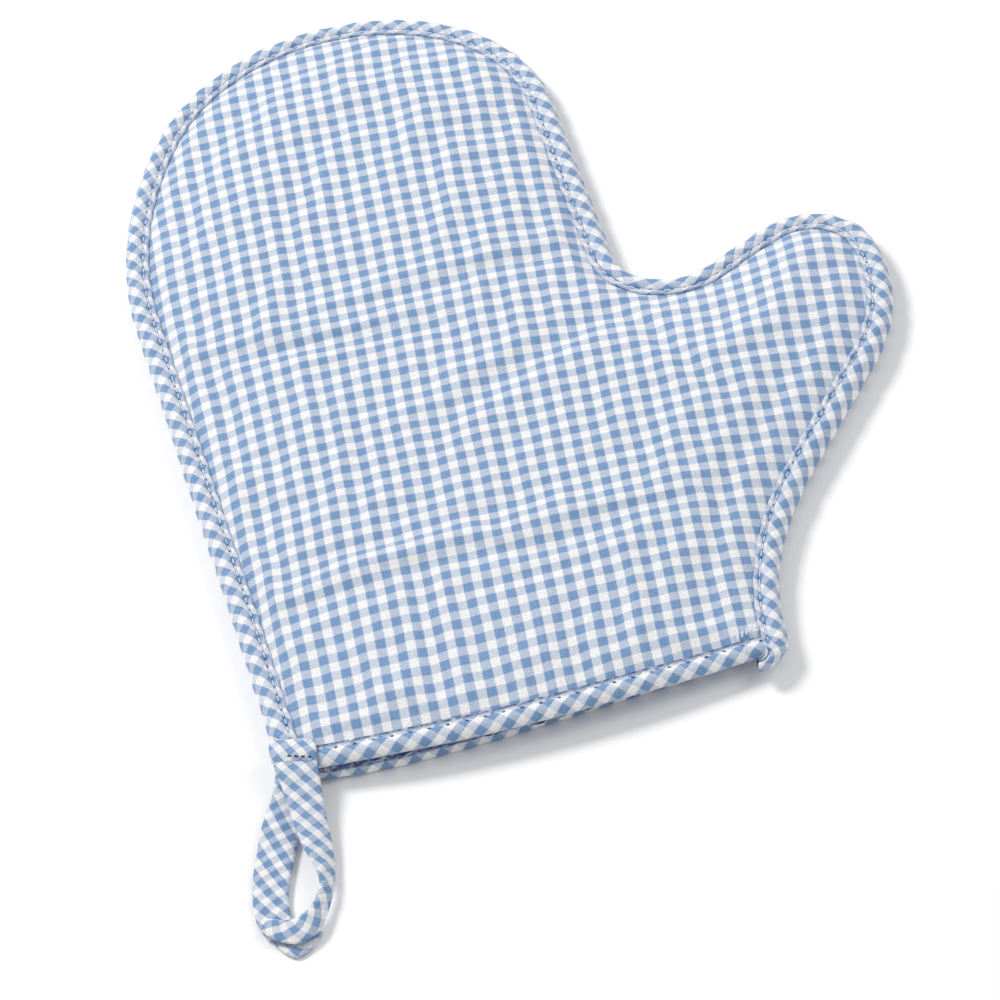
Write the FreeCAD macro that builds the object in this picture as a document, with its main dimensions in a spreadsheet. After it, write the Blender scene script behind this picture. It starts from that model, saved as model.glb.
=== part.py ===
import FreeCAD, Part
import math
import os
import Sketcher

# Quilted oven mitt lying on its back panel, palm side up.
# +X runs across the mitt towards the thumb, +Y from the cuff to the fingertips, +Z up.
# The origin is on the table, under the middle of the whole object's box.
# Two padded panels (shell, wadding, lining) are bound together round the rim; each is bound
# separately along the cuff. The cloth is parted at the knuckle fold and at the thumb root,
# so that the mitt can flex there.

doc = FreeCAD.newDocument("OvenMitt")

# ---------------------------------------------------------------------------------------
# Driving dimensions, in millimetres and degrees
# ---------------------------------------------------------------------------------------
SIZES = [
    # the outer edge of the binding, walked clockwise from below the left cuff corner
    ("start_across", -100.0, "left side's lower end, X"),
    ("start_along", -152.0, "left side's lower end, Y"),
    ("start_heading", 96.1, "direction of the left side"),
    ("left_side_length", 230.8, "left side, with the overrun below the cuff"),
    ("dome_left_radius", 154.8, "shoulder of the little-finger side"),
    ("dome_left_turn", 34.3, ""),
    ("dome_top_radius", 75.7, "fingertips"),
    ("dome_top_turn", 92.3, ""),
    ("dome_right_radius", 65.5, "index-finger side"),
    ("dome_right_turn", 54.3, ""),
    ("right_side_length", 81.3, "index-finger side above the crotch"),
    ("crotch_radius", 20.4, "hollow between fingers and thumb"),
    ("crotch_turn", 118.3, ""),
    ("thumb_top_radius", 151.3, "upper edge of the thumb"),
    ("thumb_top_turn", 9.2, ""),
    ("thumb_tip_radius", 24.2, "tip of the thumb"),
    ("thumb_tip_turn", 101.5, ""),
    ("thumb_ball_radius", 70.3, "outer edge of the thumb"),
    ("thumb_ball_turn", 47.2, ""),
    ("thumb_under_length", 51.5, "underside of the thumb"),
    ("waist_radius", 121.7, "hollow below the thumb"),
    ("waist_turn", 41.7, ""),
    ("overrun_length", 15.6, "right side below the cuff"),
    # levels and cloths
    ("cuff_edge", 132.6, "cuff's outer edge, distance before the origin"),
    ("seam_level", 5.0, "height of the rim seam above the table"),
    ("shell_thick", 0.45, "quilting cotton and its turnings"),
    ("lining_thick", 0.35, "lining cotton"),
    ("wadding_rim", 1.0, "wadding pressed flat under the binding"),
    ("wadding_back", 3.05, "extra loft of the back wadding"),
    ("wadding_front", 2.5, "extra loft of the front wadding"),
    ("ply_gap", 0.1, "air between two plies"),
    ("cavity_cuff", 6.6, "height of the hand space at the mouth"),
    ("cavity_extra", 0.9, "extra height of the hand space above the palm"),
    ("puff_start", 7.0, "flat border of the panels, from the rim"),
    ("puff_width", 30.0, "width over which the panels rise"),
    ("cuff_flat", 12.0, "pressed border along the cuff"),
    ("cuff_rise", 30.0, "length over which the cuff regains its loft"),
    ("cuff_loft", 0.42, "share of the loft left inside the cuff binding"),
    ("cavity_rise", 90.0, "length over which the hand space regains its height"),
    # bindings and threads
    ("binding_thick", 0.8, "folded bias tape"),
    ("binding_width", 9.5, "visible width of the bias tape"),
    ("stitch_inset", 7.9, "topstitch line, from the edge"),
    ("thread_wide", 0.6, "topstitch thread across"),
    ("thread_high", 0.4, "topstitch thread above the cloth"),
    ("thread_gap", 0.15, "clearance below the thread, a gap and a half"),
    # folds
    ("fold_along", 85.4, "knuckle fold, Y"),
    ("fold_gap", 0.3, "clearance between bodies"),
    ("thumb_fold_across", 54.0, "upper end of the thumb's root line, X"),
    ("thumb_fold_along", 47.4, "upper end of the thumb's root line, Y"),
    ("thumb_fold_lean", 12.5, "lean of the thumb's root line from Y"),
    # hanging loop
    ("anchor_gap", 0.7, "clearance between the cuff tape and the loop's sewn end"),
    ("loop_root_left", -105.5, "left edge of the tape at its root, X"),
    ("loop_root_right", -90.5, "right edge of the tape at its root, X"),
    ("loop_root_along", -135.3, "swing axis of the loop, Y"),
    ("loop_bow_across", -104.2, "centre of the loop's bow, X"),
    ("loop_bow_along", -193.1, "centre of the loop's bow, Y"),
    ("loop_bow_radius", 14.0, "outer radius of the bow"),
    ("loop_eye_across", -103.3, "centre of the eye's round end, X"),
    ("loop_eye_along", -187.1, "centre of the eye's round end, Y"),
    ("loop_eye_radius", 5.3, "round end of the eye"),
    ("loop_eye_top_across", -100.4, "apex of the eye, X"),
    ("loop_eye_top_along", -158.6, "apex of the eye, Y"),
    ("loop_low", 0.5, "underside of the loop above the table"),
    ("loop_thick", 3.0, "tape folded and twisted"),
    ("anchor_length", 17.0, "tape end sewn down on the corner"),
    ("anchor_thick", 1.4, "tape end, four plies"),
    ("anchor_drop", 0.7, "tape's turn down over the cuff's edge"),
    ("tack_length", 3.0, "one tacking stitch"),
    ("tack_wide", 0.7, "tacking thread"),
    ("tack_pitch", 3.2, "distance between tacking stitches"),
    ("backtack_across", 52.5, "middle of the corner back-tack, X"),
    ("backtack_along", -127.6, "middle of the corner back-tack, Y"),
    # working stock
    ("stock_reach", 260.0, "half size of the cutting boxes"),
    ("stock_high", 45.0, "height of the cutting prisms"),
    ("stock_deep", 5.0, "depth of the cutting prisms below the table"),
]

sheet = doc.addObject("Spreadsheet::Sheet", "sizes")
for line, (alias, value, note) in enumerate(SIZES, start=1):
    sheet.set("A%d" % line, alias)
    sheet.set("B%d" % line, str(value))
    sheet.setAlias("B%d" % line, alias)
    sheet.set("C%d" % line, note)
doc.recompute()


def size(alias):
    """A driving dimension, read back from the sheet."""
    return float(sheet.get(alias))


def bind(thing, **expressions):
    """Bind properties of an object to the sheet; '__' in a name stands for a dot."""
    for name, expression in expressions.items():
        thing.setExpression(name.replace("__", "."), expression)
    return thing


# ---------------------------------------------------------------------------------------
# Outline: one tangent chain of lines and arcs
# ---------------------------------------------------------------------------------------
# name, turning side: 0 a line, +1 an arc that turns right, -1 an arc that turns left
OUTLINE = [
    ("left_side", 0), ("dome_left", 1), ("dome_top", 1), ("dome_right", 1),
    ("right_side", 0), ("crotch", -1), ("thumb_top", 1), ("thumb_tip", 1),
    ("thumb_ball", 1), ("thumb_under", 0), ("waist", -1), ("overrun", 0),
]


def outline_sketch(name):
    """The mitt's outer edge; every radius, turn and length comes from a cell."""
    sketch = doc.addObject("Sketcher::SketchObject", name)
    place = FreeCAD.Vector(size("start_across"), size("start_along"), 0)
    heading = math.radians(size("start_heading"))
    start = place
    ends = []
    for index, (part_name, side) in enumerate(OUTLINE):
        if side == 0:
            length = size(part_name + "_length")
            step = FreeCAD.Vector(math.cos(heading), math.sin(heading), 0) * length
            sketch.addGeometry(Part.LineSegment(place, place + step), False)
            place = place + step
            ends.append((1, 2))
            continue
        radius = size(part_name + "_radius")
        turn = math.radians(size(part_name + "_turn"))
        normal = heading - side * math.pi / 2
        centre = place + FreeCAD.Vector(math.cos(normal), math.sin(normal), 0) * radius
        begin = normal + math.pi
        circle = Part.Circle(centre, FreeCAD.Vector(0, 0, 1), radius)
        finish = begin - side * turn
        low, high = (finish, begin) if side > 0 else (begin, finish)
        sketch.addGeometry(Part.ArcOfCircle(circle, low, high), False)
        ends.append((2, 1) if side > 0 else (1, 2))
        place = centre + FreeCAD.Vector(math.cos(finish), math.sin(finish), 0) * radius
        heading -= side * turn
    closing = sketch.addGeometry(Part.LineSegment(place, start), False)
    last = closing - 1
    for index in range(last):
        sketch.addConstraint(
            Sketcher.Constraint("Tangent", index, ends[index][1], index + 1, ends[index + 1][0]))
    sketch.addConstraint(Sketcher.Constraint("Coincident", last, 2, closing, 1))
    sketch.addConstraint(Sketcher.Constraint("Coincident", closing, 2, 0, 1))

    def drive(alias, *constraint):
        number = sketch.addConstraint(Sketcher.Constraint(*constraint))
        sketch.renameConstraint(number, alias)
        sketch.setExpression("Constraints." + alias, "sizes." + alias)

    drive("start_across", "DistanceX", -1, 1, 0, 1, size("start_across"))
    drive("start_along", "DistanceY", -1, 1, 0, 1, size("start_along"))
    number = sketch.addConstraint(
        Sketcher.Constraint("Angle", -1, 1, 0, 1, math.radians(size("start_heading"))))
    sketch.renameConstraint(number, "start_heading")
    sketch.setExpression("Constraints.start_heading", "sizes.start_heading * 1 deg")
    for index, (part_name, side) in enumerate(OUTLINE):
        if side == 0:
            length = part_name + "_length"
            drive(length, "Distance", index, size(length))
            continue
        radius = part_name + "_radius"
        drive(radius, "Radius", index, size(radius))
        turn = part_name + "_turn"
        number = sketch.addConstraint(
            Sketcher.Constraint("Angle", index, math.radians(size(turn))))
        sketch.renameConstraint(number, turn)
        sketch.setExpression("Constraints." + turn, "sizes." + turn + " * 1 deg")
    return sketch


outline = outline_sketch("mitt_outline")
doc.recompute()


def inset_edge(name, inset):
    """The outline moved inwards."""
    edge = doc.addObject("Part::Offset2D", name)
    edge.Source = outline
    edge.Join = 0
    return bind(edge, Value="-(" + inset + ")")


def prism(name, profile):
    """An upright prism over a closed profile, deep enough for every cut."""
    solid = doc.addObject("Part::Extrusion", name)
    solid.Base = profile
    solid.DirMode = "Custom"
    solid.Dir = FreeCAD.Vector(0, 0, 1)
    solid.Solid = True
    return bind(solid, LengthFwd="sizes.stock_high", LengthRev="sizes.stock_deep")


def box(name, left, right, near, far, low, high):
    """A box between expressions for its six faces."""
    solid = doc.addObject("Part::Box", name)
    return bind(
        solid,
        Length="(%s) - (%s)" % (right, left), Width="(%s) - (%s)" % (far, near),
        Height="(%s) - (%s)" % (high, low), Placement__Base__x=left,
        Placement__Base__y=near, Placement__Base__z=low)


def cut(name, base, tool):
    solid = doc.addObject("Part::Cut", name)
    solid.Base = base
    solid.Tool = tool
    return solid


def common(name, *shapes):
    solid = doc.addObject("Part::MultiCommon", name)
    solid.Shapes = list(shapes)
    return solid


binding_prism = prism("binding_prism", outline)
core_prism = prism("core_prism", inset_edge("core_edge", "sizes.binding_thick + sizes.ply_gap / 2"))
cloth_prism = prism("cloth_prism", inset_edge("cloth_edge", "sizes.binding_thick + sizes.ply_gap"))
inner_prism = prism("inner_prism", inset_edge("binding_inner_edge", "sizes.binding_width"))
butt_prism = prism(
    "butt_prism", inset_edge("cuff_binding_end", "sizes.binding_width + sizes.ply_gap"))
stitch_prism = prism("stitch_prism", inset_edge("stitch_line", "sizes.stitch_inset"))
stitch_hole_prism = prism(
    "stitch_hole_prism", inset_edge("stitch_line_inner", "sizes.stitch_inset + sizes.thread_wide"))

REACH = "sizes.stock_reach"
HIGH = "sizes.stock_high"
DEEP = "-sizes.stock_deep"

cloth_zone = box(
    "cloth_zone", "-" + REACH, REACH,
    "-sizes.cuff_edge + sizes.binding_thick + sizes.ply_gap", REACH, "0", HIGH)
binding_zone = box("binding_zone", "-" + REACH, REACH, "-sizes.cuff_edge", REACH, DEEP, HIGH)
below_fold = box(
    "below_fold", "-" + REACH, REACH, "-" + REACH, "sizes.fold_along - sizes.fold_gap / 2",
    DEEP, HIGH)
above_fold = box(
    "above_fold", "-" + REACH, REACH, "sizes.fold_along + sizes.fold_gap / 2", REACH,
    DEEP, HIGH)


def thumb_box(name, side):
    """A box beside the thumb's root line: side +1 is the thumb's, -1 the hand's."""
    solid = doc.addObject("Part::Box", name)
    gap = "sizes.fold_gap / 2" if side > 0 else "(-sizes.fold_gap / 2 - sizes.stock_reach)"
    lean = "sizes.thumb_fold_lean * 1 deg"
    solid.Placement.Rotation = FreeCAD.Rotation(FreeCAD.Vector(0, 0, 1), size("thumb_fold_lean"))
    back = "sizes.stock_reach"
    return bind(
        solid, Length=REACH, Width="2 * sizes.stock_reach", Height=HIGH + " - " + DEEP,
        Placement__Rotation__Angle=lean,
        Placement__Base__x="sizes.thumb_fold_across + %s * cos(%s) + %s * sin(%s)"
        % (gap, lean, back, lean),
        Placement__Base__y="sizes.thumb_fold_along + %s * sin(%s) - %s * cos(%s)"
        % (gap, lean, back, lean),
        Placement__Base__z=DEEP)


thumb_side = thumb_box("thumb_side", 1)
hand_side = thumb_box("hand_side", -1)

SEGMENTS = {
    "hand": (below_fold, hand_side),
    "fingers": (above_fold,),
    "thumb": (thumb_side,),
}

# ---------------------------------------------------------------------------------------
# Height fields: the panels rise from a flat border along the rim
# ---------------------------------------------------------------------------------------
GRID_STEP = 7.5
GRID_LEFT = -150.0
GRID_NEAR = -165.0
GRID_ACROSS = 41
GRID_ALONG = 53


def smooth(share):
    """A smooth step from 0 to 1."""
    share = min(max(share, 0.0), 1.0)
    return share * share * (3 - 2 * share)


def rim_distances():
    """Distance inside the rim at each grid point, 0 outside; the cuff isn't part of the rim."""
    edges = outline.Shape.Edges[:len(OUTLINE)]
    rim = [point for edge in edges for point in edge.discretize(Distance=2.0)]
    face = Part.Face(Part.Wire(Part.__sortEdges__(outline.Shape.Edges)))
    rows = []
    for i in range(GRID_ACROSS):
        row = []
        for j in range(GRID_ALONG):
            point = FreeCAD.Vector(GRID_LEFT + i * GRID_STEP, GRID_NEAR + j * GRID_STEP, 0)
            inside = face.isInside(point, 0.01, True)
            row.append(min(math.dist(point, other) for other in rim) if inside else 0.0)
        rows.append(row)
    return rows


RIM = rim_distances()


def puff(i, j):
    """Share of full loft, from 0 on the flat border to 1 in the middle of a panel."""
    return smooth((RIM[i][j] - size("puff_start")) / size("puff_width"))


def beyond_cuff(j):
    """Distance from the cuff's edge towards the fingertips."""
    return GRID_NEAR + j * GRID_STEP + size("cuff_edge")


def loft(i, j):
    """Share of the wadding's extra loft; the cuff binding presses it flatter."""
    kept = size("cuff_loft")
    rise = smooth((beyond_cuff(j) - size("cuff_flat")) / size("cuff_rise"))
    return puff(i, j) * (kept + (1 - kept) * rise)


def lining_floor(i, j):
    """Underside of the front lining, the ceiling of the hand space."""
    cavity = size("cavity_cuff")
    cavity += size("cavity_extra") * smooth(beyond_cuff(j) / size("cavity_rise"))
    return size("seam_level") + size("ply_gap") / 2 + cavity * puff(i, j)


def lining_ceiling(i, j):
    return lining_floor(i, j) + size("lining_thick")


def front_wadding_floor(i, j):
    return lining_ceiling(i, j) + size("ply_gap")


def front_wadding_ceiling(i, j):
    thick = size("wadding_rim") + size("wadding_front") * loft(i, j)
    return front_wadding_floor(i, j) + thick


def front_shell_floor(i, j):
    return front_wadding_ceiling(i, j) + size("ply_gap")


def front_face(i, j):
    """The palm side's visible face."""
    return front_shell_floor(i, j) + size("shell_thick")


def back_wadding_level():
    """The back wadding's flat inner side."""
    return size("seam_level") - size("ply_gap") / 2 - size("lining_thick") - size("ply_gap")


def back_wadding_floor(i, j):
    return back_wadding_level() - size("wadding_rim") - size("wadding_back") * loft(i, j)


def back_shell_ceiling(i, j):
    return back_wadding_floor(i, j) - size("ply_gap")


def back_face(i, j):
    """The back's visible face; it dips just under the table level, where it is cut flat."""
    return back_shell_ceiling(i, j) - size("shell_thick")


def block(name, height, lift=0.0):
    """Everything below a height field raised by lift."""
    rows = [[height(i, j) + lift for j in range(GRID_ALONG)] for i in range(GRID_ACROSS)]
    surface = Part.BSplineSurface()
    surface.interpolate(rows, GRID_LEFT, GRID_STEP, GRID_NEAR, GRID_STEP)
    solid = doc.addObject("Part::Feature", name)
    solid.Shape = surface.toShape().extrude(FreeCAD.Vector(0, 0, -2 * size("stock_high")))
    return solid


def layer(name, outline_solid, top, bottom):
    """What an upright solid holds between two blocks."""
    return cut(name, common(name + "_under", outline_solid, top), bottom)


tape = size("binding_thick")
gap = size("ply_gap")
below_front_lining = block("below_front_lining", lining_floor)
under_front_lining_top = block("under_front_lining_top", lining_ceiling)
below_front_wadding = block("below_front_wadding", front_wadding_floor)
under_front_wadding_top = block("under_front_wadding_top", front_wadding_ceiling)
below_front_shell = block("below_front_shell", front_shell_floor)
under_front_face = block("under_front_face", front_face)
under_front_void = block("under_front_void", front_face, gap)
under_front_tape = block("under_front_tape", front_face, gap + tape)
below_front_thread = block("below_front_thread", front_face, size("thread_gap") + tape)
under_front_thread = block(
    "under_front_thread", front_face, size("thread_gap") + tape + size("thread_high"))
below_back_wadding = block("below_back_wadding", back_wadding_floor)
under_back_shell = block("under_back_shell", back_shell_ceiling)
below_back_face = block("below_back_face", back_face)
below_back_void = block("below_back_void", back_face, -gap)
below_back_tape = block("below_back_tape", back_face, -gap - tape)
under_back_thread = block("under_back_thread", back_face, -size("thread_gap") - tape)
below_back_thread = block(
    "below_back_thread", back_face, -size("thread_gap") - tape - size("thread_high"))

FLAT = "sizes.seam_level - sizes.ply_gap / 2 - sizes.lining_thick"
under_back_wadding_top = box(
    "under_back_wadding_top", "-" + REACH, REACH, "-" + REACH, REACH, DEEP,
    FLAT + " - sizes.ply_gap")
below_back_lining = box(
    "below_back_lining", "-" + REACH, REACH, "-" + REACH, REACH, DEEP, FLAT)
under_back_lining_top = box(
    "under_back_lining_top", "-" + REACH, REACH, "-" + REACH, REACH, DEEP,
    FLAT + " + sizes.lining_thick")

# ---------------------------------------------------------------------------------------
# The six cloths and waddings, each parted into hand, fingers and thumb
# ---------------------------------------------------------------------------------------
PLIES = {
    "front_shell": (under_front_face, below_front_shell),
    "front_wadding": (under_front_wadding_top, below_front_wadding),
    "front_lining": (under_front_lining_top, below_front_lining),
    "back_lining": (under_back_lining_top, below_back_lining),
    "back_wadding": (under_back_wadding_top, below_back_wadding),
    "back_shell": (under_back_shell, below_back_face),
}
parts = {}
for segment, zones in SEGMENTS.items():
    cloth = common("cloth_" + segment, cloth_prism, cloth_zone, *zones)
    for ply, (top, bottom) in PLIES.items():
        node = ply + "_" + segment
        parts[node] = layer(node, cloth, top, bottom)

# ---------------------------------------------------------------------------------------
# Perimeter binding: bias tape folded round the rim, and its two rows of topstitching
# ---------------------------------------------------------------------------------------
ring = cut("binding_ring", common("binding_above_cuff", binding_prism, binding_zone), inner_prism)
tape_ring = layer("tape_ring", ring, under_front_tape, below_back_tape)
rim_void = layer("rim_void", core_prism, under_front_void, below_back_void)
perimeter = cut("perimeter_tape", tape_ring, rim_void)
thread_ring = cut(
    "thread_ring", common("thread_above_cuff", stitch_prism, binding_zone), stitch_hole_prism)
front_thread = layer("front_thread", thread_ring, under_front_thread, below_front_thread)
back_thread = layer("back_thread", thread_ring, under_back_thread, below_back_thread)
for segment, zones in SEGMENTS.items():
    for piece, whole in (
            ("perimeter_binding", perimeter),
            ("front_topstitch", front_thread),
            ("back_topstitch", back_thread)):
        node = piece + "_" + segment
        parts[node] = common(node, whole, *zones)

# ---------------------------------------------------------------------------------------
# Cuff bindings: one on each panel, so that the mouth stays open
# ---------------------------------------------------------------------------------------
cuff_strip_box = box(
    "cuff_strip_box", "-" + REACH, REACH, "-sizes.cuff_edge",
    "-sizes.cuff_edge + sizes.binding_width", DEEP, HIGH)
cuff_strip = common("cuff_strip", butt_prism, cuff_strip_box)
cuff_void_box = box(
    "cuff_void_box", "-" + REACH, REACH, "-sizes.cuff_edge + sizes.binding_thick", REACH,
    DEEP, HIGH)
under_front_inner_tape = block("under_front_inner_tape", lining_floor, -gap - tape)
under_front_inner_void = block("under_front_inner_void", lining_floor, -gap)
half_gap = gap / 2
above_parting = box(
    "above_parting", "-" + REACH, REACH, "-" + REACH, REACH, "sizes.seam_level + sizes.ply_gap",
    HIGH)
front_tape = layer("front_cuff_tape", cuff_strip, under_front_tape, under_front_inner_tape)
front_void = layer("front_cuff_void", cuff_void_box, under_front_void, under_front_inner_void)
parts["front_cuff_binding"] = common(
    "front_cuff_binding", cut("front_cuff_channel", front_tape, front_void), above_parting)
back_tape_top = box(
    "back_tape_top", "-" + REACH, REACH, "-" + REACH, REACH, DEEP,
    "sizes.seam_level + sizes.ply_gap / 2 + sizes.binding_thick")
back_void_top = box(
    "back_void_top", "-" + REACH, REACH, "-" + REACH, REACH, DEEP,
    "sizes.seam_level + sizes.ply_gap / 2")
clear_of_front = block("clear_of_front", lining_floor, -2 * gap - tape)
back_tape = common(
    "back_cuff_tape", layer("back_cuff_under", cuff_strip, back_tape_top, below_back_tape),
    clear_of_front)
back_void = layer("back_cuff_void", cuff_void_box, back_void_top, below_back_void)
parts["back_cuff_binding"] = cut("back_cuff_binding", back_tape, back_void)

cuff_thread_box = box(
    "cuff_thread_box", "-" + REACH, REACH, "-sizes.cuff_edge + sizes.stitch_inset",
    "-sizes.cuff_edge + sizes.stitch_inset + sizes.thread_wide", DEEP, HIGH)
cuff_thread = common("cuff_thread", butt_prism, cuff_thread_box)
parts["front_cuff_stitching"] = layer(
    "front_cuff_stitching", cuff_thread, under_front_thread, below_front_thread)
parts["back_cuff_stitching"] = layer(
    "back_cuff_stitching", cuff_thread, under_back_thread, below_back_thread)

# ---------------------------------------------------------------------------------------
# Hanging loop: the tape's end sewn down on the corner, and the free loop
# ---------------------------------------------------------------------------------------
anchor_left = "sizes.loop_root_left + 2 * sizes.tack_wide"
anchor_box = box(
    "anchor_box", anchor_left, "sizes.loop_root_right", "-sizes.cuff_edge - sizes.anchor_drop",
    "-sizes.cuff_edge + sizes.anchor_length", DEEP, HIGH)
anchor_low = tape + size("anchor_gap")
anchor_high = anchor_low + size("anchor_thick")
under_anchor = block("under_anchor", front_face, anchor_high)
anchor_flap = layer(
    "anchor_flap", anchor_box, under_anchor, block("below_anchor", front_face, anchor_low))
drop_box = box(
    "drop_box", anchor_left, "sizes.loop_root_right", "-sizes.cuff_edge - sizes.anchor_drop",
    "-sizes.cuff_edge - sizes.ply_gap", "sizes.loop_low", HIGH)
loop_anchor = doc.addObject("Part::Fuse", "loop_anchor")
loop_anchor.Base = anchor_flap
loop_anchor.Tool = common("anchor_drop", drop_box, under_anchor)
parts["loop_anchor"] = loop_anchor


def stitch_group(name, count, across, along, across_step, along_step, low, high):
    """A row of short tacking stitches lying on the cloth."""
    bars = []
    for number in range(count):
        bars.append(box(
            "%s_bar_%d" % (name, number),
            "%s + %d * (%s)" % (across, number, across_step),
            "%s + %d * (%s) + sizes.tack_wide" % (across, number, across_step),
            "%s + %d * (%s)" % (along, number, along_step),
            "%s + %d * (%s) + sizes.tack_length" % (along, number, along_step), DEEP, HIGH))
    group = doc.addObject("Part::Compound", name + "_bars")
    group.Links = bars
    return layer(
        name, group, block("under_" + name, front_face, high),
        block("below_" + name, front_face, low))


tack_low = anchor_high + half_gap
parts["loop_tack_stitches"] = stitch_group(
    "loop_tack_stitches", 4, "sizes.loop_root_left + 3 * sizes.tack_wide",
    "-sizes.cuff_edge + sizes.binding_width", "sizes.tack_pitch", "0", tack_low,
    tack_low + size("thread_high"))
backtack_low = anchor_low + half_gap
parts["corner_backtack"] = stitch_group(
    "corner_backtack", 5, "sizes.backtack_across - 4 * sizes.tack_wide", "sizes.backtack_along",
    "2 * sizes.tack_wide", "sizes.tack_wide", backtack_low, backtack_low + size("thread_high"))


def teardrop(body, name, bow_across, bow_along, radius, left, right, top):
    """A closed profile: a round bow whose two tangent legs run to a straight or pointed top."""
    sketch = body.newObject("Sketcher::SketchObject", name)
    flat = [item for item in body.Origin.OriginFeatures if item.Role == "XY_Plane"][0]
    sketch.AttachmentSupport = [(flat, "")]
    sketch.MapMode = "FlatFace"
    centre = FreeCAD.Vector(size(bow_across), size(bow_along), 0)
    round_size = size(radius)
    pointed = left == right
    left_top = FreeCAD.Vector(size(left), size(top), 0)
    right_top = FreeCAD.Vector(size(right), size(top), 0)
    up = FreeCAD.Vector(0, 0, 1)
    arc = sketch.addGeometry(
        Part.ArcOfCircle(Part.Circle(centre, up, round_size), math.pi, 2 * math.pi), False)
    left_side = FreeCAD.Vector(round_size, 0, 0)
    left_leg = sketch.addGeometry(Part.LineSegment(left_top, centre - left_side), False)
    right_leg = sketch.addGeometry(Part.LineSegment(right_top, centre + left_side), False)
    sketch.addConstraint(Sketcher.Constraint("Tangent", left_leg, 2, arc, 1))
    sketch.addConstraint(Sketcher.Constraint("Tangent", right_leg, 2, arc, 2))

    def drive(alias, *constraint):
        number = sketch.addConstraint(Sketcher.Constraint(*constraint))
        sketch.renameConstraint(number, alias)
        sketch.setExpression("Constraints." + alias, "sizes." + alias)

    drive(bow_across, "DistanceX", -1, 1, arc, 3, size(bow_across))
    drive(bow_along, "DistanceY", -1, 1, arc, 3, size(bow_along))
    drive(radius, "Radius", arc, round_size)
    drive(left, "DistanceX", -1, 1, left_leg, 1, size(left))
    drive(top, "DistanceY", -1, 1, left_leg, 1, size(top))
    if pointed:
        sketch.addConstraint(Sketcher.Constraint("Coincident", left_leg, 1, right_leg, 1))
        return sketch
    lintel = sketch.addGeometry(Part.LineSegment(left_top, right_top), False)
    sketch.addConstraint(Sketcher.Constraint("Coincident", lintel, 1, left_leg, 1))
    sketch.addConstraint(Sketcher.Constraint("Coincident", lintel, 2, right_leg, 1))
    sketch.addConstraint(Sketcher.Constraint("Horizontal", lintel))
    drive(right, "DistanceX", -1, 1, right_leg, 1, size(right))
    return sketch


loop_body = doc.addObject("PartDesign::Body", "loop_body")
loop_profile = teardrop(
    loop_body, "loop_profile", "loop_bow_across", "loop_bow_along", "loop_bow_radius",
    "loop_root_left", "loop_root_right", "loop_root_along")
loop_plate = loop_body.newObject("PartDesign::Pad", "loop_plate")
loop_plate.Profile = loop_profile
bind(loop_plate, Length="sizes.loop_thick")
doc.recompute()
eye_profile = teardrop(
    loop_body, "eye_profile", "loop_eye_across", "loop_eye_along", "loop_eye_radius",
    "loop_eye_top_across", "loop_eye_top_across", "loop_eye_top_along")
loop_eye = loop_body.newObject("PartDesign::Pocket", "loop_eye")
loop_eye.Profile = eye_profile
loop_eye.Type = 1
loop_eye.Reversed = True
bind(loop_body, Placement__Base__z="sizes.loop_low")
loop_root = doc.addObject("Part::Cylinder", "loop_root")
loop_root.Placement.Rotation = FreeCAD.Rotation(FreeCAD.Vector(0, 1, 0), 90)
bind(
    loop_root, Radius="sizes.loop_thick / 2", Height="sizes.loop_root_right - sizes.loop_root_left",
    Placement__Base__x="sizes.loop_root_left", Placement__Base__y="sizes.loop_root_along",
    Placement__Base__z="sizes.loop_low + sizes.loop_thick / 2")
hanging_loop = doc.addObject("Part::Fuse", "hanging_loop")
hanging_loop.Base = loop_body
hanging_loop.Tool = loop_root
parts["hanging_loop"] = hanging_loop

# ---------------------------------------------------------------------------------------
# Recompute, check and write
# ---------------------------------------------------------------------------------------
doc.recompute()
for node, thing in parts.items():
    thing.Label = node
for thing in doc.Objects:
    if "Invalid" in thing.State or "Error" in thing.State:
        raise RuntimeError("failed object: " + thing.Name + " " + str(thing.State))
for node, thing in parts.items():
    shape = thing.Shape
    if shape.isNull() or not shape.isValid() or not shape.Solids:
        raise RuntimeError("bad shape: " + node)

os.makedirs("parts", exist_ok=True)
whole = FreeCAD.BoundBox()
for node, thing in sorted(parts.items()):
    thing.Shape.exportStep(os.path.join("parts", node + ".step"))
    whole.add(thing.Shape.BoundBox)
    print("%-28s solids %d volume %10.1f z %6.2f .. %6.2f" % (
        node, len(thing.Shape.Solids), thing.Shape.Volume,
        thing.Shape.BoundBox.ZMin, thing.Shape.BoundBox.ZMax))
print("box", whole)
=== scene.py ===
import math

import bmesh
import bpy
import numpy as np
from mathutils import Matrix, Vector
from mathutils.geometry import delaunay_2d_cdt


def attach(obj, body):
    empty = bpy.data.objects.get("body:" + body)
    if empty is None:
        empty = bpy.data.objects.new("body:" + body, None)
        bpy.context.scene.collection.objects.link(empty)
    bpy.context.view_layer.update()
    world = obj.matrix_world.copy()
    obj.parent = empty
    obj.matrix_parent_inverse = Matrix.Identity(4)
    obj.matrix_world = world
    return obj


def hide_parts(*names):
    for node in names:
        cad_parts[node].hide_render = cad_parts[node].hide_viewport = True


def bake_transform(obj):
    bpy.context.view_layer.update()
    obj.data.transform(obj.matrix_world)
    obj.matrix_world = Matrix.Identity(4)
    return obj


# A padded gingham oven mitt lying palm side up. Builders below work in millimetres in the
# row frame (+X towards the thumb, +Y towards the fingertips); meshes are made in metres.

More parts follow.
